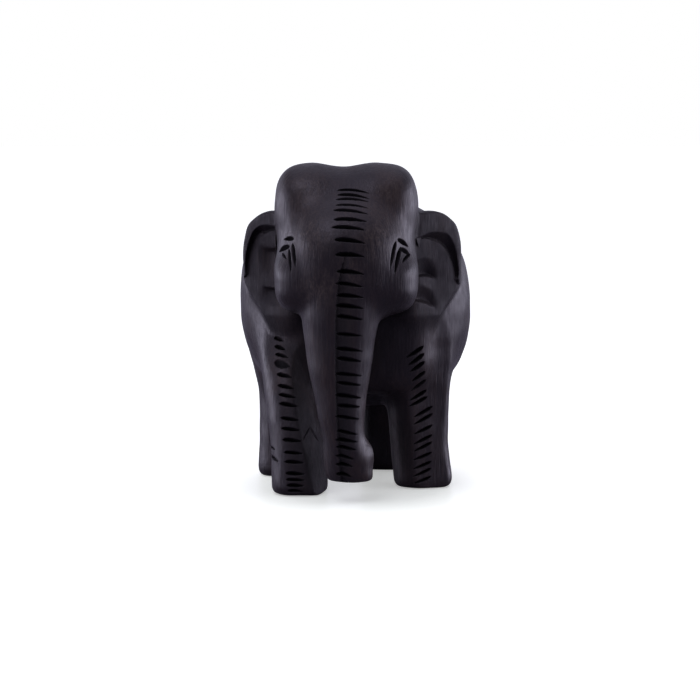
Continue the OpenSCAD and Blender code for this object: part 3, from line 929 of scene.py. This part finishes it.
def dark_wood():
    """Near-black satin wood, with its grain upright, painted shade in its cuts and creases, and painted
    pools of light on the head.
    """
    material = bpy.data.materials.new("dark_wood")
    material.use_nodes = True
    tree = material.node_tree
    tree.nodes.clear()
    place = add(tree, "TexCoord").outputs["Object"]
    carved_in = add(tree, "Attribute", attribute_name="carved").outputs["Fac"]
    openness = add(tree, "Attribute", attribute_name="openness").outputs["Fac"]
    painted_light = add(tree, "Attribute", attribute_name="painted_light").outputs["Fac"]
    along = add(tree, "Mapping", {"Vector": place, "Scale": (1, 1, 0.07)}).outputs[0]
    half_along = add(tree, "Mapping", {"Vector": place, "Scale": (1, 1, 0.45)}).outputs[0]
    grain = noise(tree, along, 1500, 4, 0.62, 0.3)
    pores = noise(tree, along, 4200, 2, 0.5)
    patch = noise(tree, half_along, 105, 3, 0.55)
    mottle = noise(tree, half_along, 900, 3, 0.6)
    warm = remap(tree, patch, 0.47, 0.66)
    streak = remap(tree, grain, 0.36, 0.7)
    brown = math_node(tree, "MULTIPLY", warm, remap(tree, streak, 0, 1, 0.35, 1))
    brown = math_node(tree, "ADD", brown, math_node(tree, "MULTIPLY", streak, STREAK_SHARE))
    colour = blend_colour(tree, brown, EBONY, WALNUT)
    # Painted pools of light: lighter brown spots where the front light falls, broken up by speckle
    speckle = remap(tree, noise(tree, half_along, 2600, 2, 0.6), 0.4, 0.62, 0.25, 1)
    speckle = math_node(tree, "MULTIPLY", speckle, remap(tree, mottle, 0.3, 0.6))
    painted_light_mask = math_node(tree, "MULTIPLY", painted_light, speckle)
    colour = blend_colour(tree, painted_light_mask, colour, PAINTED_LIGHT_BROWN)
    # Painted shade: darker and rougher in creases, under the body, on the ears, down the trunk's strip and
    # in the knife cuts
    shade = remap(tree, openness, 0.25, 0.88, 1, 0)
    cut = remap(tree, carved_in, 0.02, 0.3)
    hollow = math_node(tree, "MAXIMUM", math_node(tree, "MULTIPLY", shade, CREASE_SHADE_SHARE), cut)
    colour = blend_colour(tree, hollow, colour, PAINTED_SHADE)
    satin = remap(tree, mottle, 0.3, 0.72, 0.33, 0.48)
    roughness = math_node(tree, "ADD", satin, math_node(tree, "MULTIPLY", hollow, HOLLOW_ROUGHNESS))
    grain_relief = math_node(tree, "MULTIPLY", grain, 0.6)
    pore_relief = math_node(tree, "MULTIPLY", pores, 0.4)
    relief = math_node(tree, "ADD", grain_relief, pore_relief)
    fine = add(tree, "Bump", {"Strength": 0.6, "Distance": 0.00024, "Height": relief}).outputs[0]
    tool_marks = noise(tree, half_along, 330, 2, 0.5)
    marks = {"Strength": 0.35, "Distance": 0.0004, "Height": tool_marks, "Normal": fine}
    bump = add(tree, "Bump", marks).outputs[0]
    surface = add(
        tree,
        "BsdfPrincipled",
        {
            "Base Color": colour, "Roughness": roughness, "Normal": bump,
            "IOR": 1.5, "Specular IOR Level": 0.32, "Specular Tint": (0.98, 0.91, 1, 1),
        },
    )
    add(tree, "OutputMaterial", {"Surface": surface.outputs[0]})
    return material


WOOD = dark_wood()

# ---------------------------------------------------------------- the pieces


# Columns of data for a point in a cap: no normal of its own, no cut, in the open, no painted light
CAP_DATA = [0, 0, 0, 0, 1.0, 0]
# The values that the material reads, and their columns in the data
ATTRIBUTES = {"carved": 3, "openness": 4, "painted_light": 5}


def make_piece(name, surface):
    """One closed mesh object for a CAD node.

    Its surface keeps the whole figure's normals, so no seam shows.
    """
    all_points, faces, cap_count = capped(points, surface)
    used, faces = np.unique(faces, return_inverse=True)
    faces = faces.reshape(-1, 3)
    place = all_points[used]
    own = np.vstack([data, np.tile(CAP_DATA, (len(all_points) - len(data), 1))])[used]
    mesh = bpy.data.meshes.new(name + "_carved")
    mesh.vertices.add(len(place))
    mesh.vertices.foreach_set("co", (place * MM).astype(np.float32).ravel())
    mesh.loops.add(faces.size)
    mesh.loops.foreach_set("vertex_index", faces.astype(np.int32).ravel())
    mesh.polygons.add(len(faces))
    mesh.polygons.foreach_set("loop_start", np.arange(0, faces.size, 3, dtype=np.int32))
    mesh.update(calc_edges=True)
    mesh.validate()
    corner_normals = own[:, :3][faces]
    if cap_count:
        a, b, c = (place[faces[-cap_count:, i]] for i in range(3))
        flat = np.cross(b - a, c - a)
        corner_normals[-cap_count:] = flat[:, None, :]
    corner_normals = corner_normals.reshape(-1, 3)
    corner_normals /= np.linalg.norm(corner_normals, axis=1, keepdims=True) + 1e-12
    mesh.normals_split_custom_set(corner_normals.astype(np.float32))
    for label, column_number in ATTRIBUTES.items():
        attribute = mesh.attributes.new(label, "FLOAT", "POINT")
        attribute.data.foreach_set("value", own[:, column_number].astype(np.float32))
    mesh.materials.append(WOOD)
    piece = bpy.data.objects.new(name + "_carved", mesh)
    bpy.context.scene.collection.objects.link(piece)
    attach(piece, BODY)
    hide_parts(name)


for name, surface in surfaces.items():
    make_piece(name, surface)

# ---------------------------------------------------------------- floor, light and camera
# Lengths are in metres from here on.

FLOOR_HALF = 6.0
FLOOR_BOUNCE = (0.28, 0.26, 0.3, 1)


def floor_material():
    """White where the camera looks, with a soft shadow close to the feet.

    The wood sees a dim floor, which leaves the spaces between the legs dark.
    """
    material = bpy.data.materials.new("white_acrylic")
    material.use_nodes = True
    tree = material.node_tree
    tree.nodes.clear()
    place = add(tree, "TexCoord").outputs["Object"]
    stretch = {"Vector": place, "Location": (0, 0.006, 0), "Scale": (1.6, 1, 1)}
    narrowed = add(tree, "Mapping", stretch).outputs[0]
    from_middle = add(tree, "VectorMath", {0: narrowed}, operation="LENGTH").outputs["Value"]
    # The floor's glow is weaker close to the feet: a painted shadow there, on top of the one that the lamps
    # cast
    glow = remap(tree, from_middle, 0.03, 0.05, 0.37, 0.62)
    white = add(
        tree,
        "BsdfPrincipled",
        {
            "Base Color": (0.88, 0.94, 0.78, 1), "Roughness": 0.3, "Specular IOR Level": 0.12,
            "Emission Color": (1, 1, 1, 1), "Emission Strength": glow,
        },
    )
    dim = add(tree, "BsdfDiffuse", {"Color": FLOOR_BOUNCE})
    seen = add(tree, "LightPath").outputs["Is Camera Ray"]
    both = add(tree, "MixShader", {0: seen, 1: dim.outputs[0], 2: white.outputs[0]})
    add(tree, "OutputMaterial", {"Surface": both.outputs[0]})
    return material


def make_floor():
    mesh = bpy.data.meshes.new("floor")
    corners = [(FLOOR_HALF * x, FLOOR_HALF * y, 0) for x, y in ((-1, -1), (1, -1), (1, 1), (-1, 1))]
    mesh.from_pydata(corners, [], [(0, 1, 2, 3)])
    mesh.materials.append(floor_material())
    floor = bpy.data.objects.new("floor", mesh)
    bpy.context.scene.collection.objects.link(floor)


def make_world():
    """White studio. The camera's side of it is dimmer than the back and the sides."""
    world = bpy.data.worlds.new("studio")
    bpy.context.scene.world = world
    world.use_nodes = True
    tree = world.node_tree
    tree.nodes.clear()
    way = add(tree, "TexCoord").outputs["Generated"]
    sides = add(tree, "SeparateXYZ", {"Vector": way}).outputs
    across = remap(tree, math_node(tree, "ABSOLUTE", sides["X"]), 0.2, 0.85, 0, 2.4)
    across = math_node(tree, "MULTIPLY", across, remap(tree, sides["Y"], -0.5, 0.25, 0.4, 1))
    across = math_node(tree, "MULTIPLY", across, remap(tree, sides["Z"], 0, 0.35, 1, 0.25))
    behind = remap(tree, sides["Y"], 0.1, 0.9, 0.095, 0.5)
    above = remap(tree, sides["Z"], 0.45, 0.9, 0, 1.05)
    glow = math_node(tree, "MAXIMUM", math_node(tree, "MAXIMUM", across, behind), above)
    seen = add(tree, "LightPath").outputs["Is Camera Ray"]
    colour = blend_colour(tree, seen, (0.84, 0.82, 1.03, 1), (1, 1, 1, 1))
    strength = math_node(tree, "MAXIMUM", glow, seen)
    light = add(tree, "Background", {"Color": colour, "Strength": strength})
    add(tree, "OutputWorld", {"Surface": light.outputs[0]})


# Name, place, width and height, and watts of each lamp
SOFTBOXES = [
    ("left_box", (-0.73, 0.12, 0.05), (0.8, 0.2), 2.25),
    ("right_box", (0.73, 0.1, 0.06), (0.8, 0.2), 3),
    ("front_box", (-0.32, -0.6, 0.66), (0.6, 0.4), 2.4),
]
LAMP_COLOUR = (0.86, 0.85, 1)
LAMP_TARGET = Vector((0, 0, 0.035))


def softbox(name, at, size, power):
    data = bpy.data.lights.new(name, "AREA")
    data.shape = "RECTANGLE"
    data.size, data.size_y = size
    data.energy = power
    data.color = LAMP_COLOUR
    lamp = bpy.data.objects.new(name, data)
    bpy.context.scene.collection.objects.link(lamp)
    lamp.location = at
    way = LAMP_TARGET - lamp.location
    lamp.rotation_euler = way.to_track_quat("-Z", "Y").to_euler()


CAMERA_LENS = 141.0
CAMERA_DISTANCE = 0.65
CAMERA_ELEVATION = math.radians(5)
CAMERA_TARGET = (-0.00125, 0, 0.0317)


def make_camera():
    data = bpy.data.cameras.new("camera")
    data.lens = CAMERA_LENS
    camera = bpy.data.objects.new("camera", data)
    bpy.context.scene.collection.objects.link(camera)
    camera.location = (
        CAMERA_TARGET[0],
        CAMERA_TARGET[1] - CAMERA_DISTANCE * math.cos(CAMERA_ELEVATION),
        CAMERA_TARGET[2] + CAMERA_DISTANCE * math.sin(CAMERA_ELEVATION),
    )
    camera.rotation_euler = (math.pi / 2 - CAMERA_ELEVATION, 0, 0)
    bpy.context.scene.camera = camera


make_floor()
make_world()
for box in SOFTBOXES:
    softbox(*box)
make_camera()
bpy.context.scene.view_settings.view_transform = "Standard"
